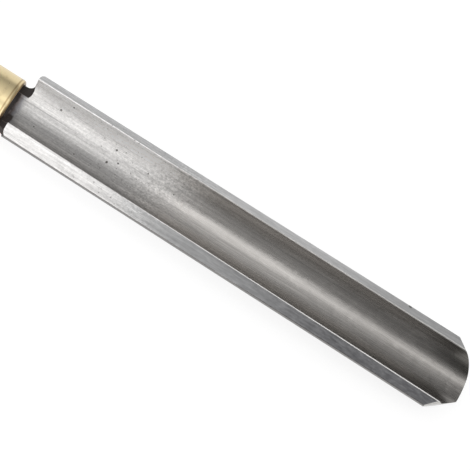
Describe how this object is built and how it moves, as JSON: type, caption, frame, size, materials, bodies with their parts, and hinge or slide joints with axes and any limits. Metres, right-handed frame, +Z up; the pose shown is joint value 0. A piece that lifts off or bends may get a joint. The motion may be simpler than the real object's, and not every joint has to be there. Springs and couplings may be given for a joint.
{
  "type": "woodturning gouge",
  "caption": "Roughing gouge for wood turning: a rolled steel blade with an open flute, a rounded bevelled nose, a brass ferrule and a long turned wooden handle.",
  "frame": {"origin": "on the surface that the tool lies on, under the middle of its overall length and width", "axes": "+Z up out of the open flute, +X along the tool towards its cutting edge as seen from above, and +Y to its left. The tool lies on the heel of its bevel and the belly of its handle, so that its own axis drops by about two and a half degrees towards the nose"},
  "size_m": [0.5196, 0.037, 0.0415],
  "materials": {
    "steel": "ground along its length",
    "brass": "polished",
    "hardwood": "turned and oiled"
  },
  "bodies": {
    "root": {"blade": "steel", "ferrule": "brass", "handle": "hardwood"}
  },
  "joints": []
}
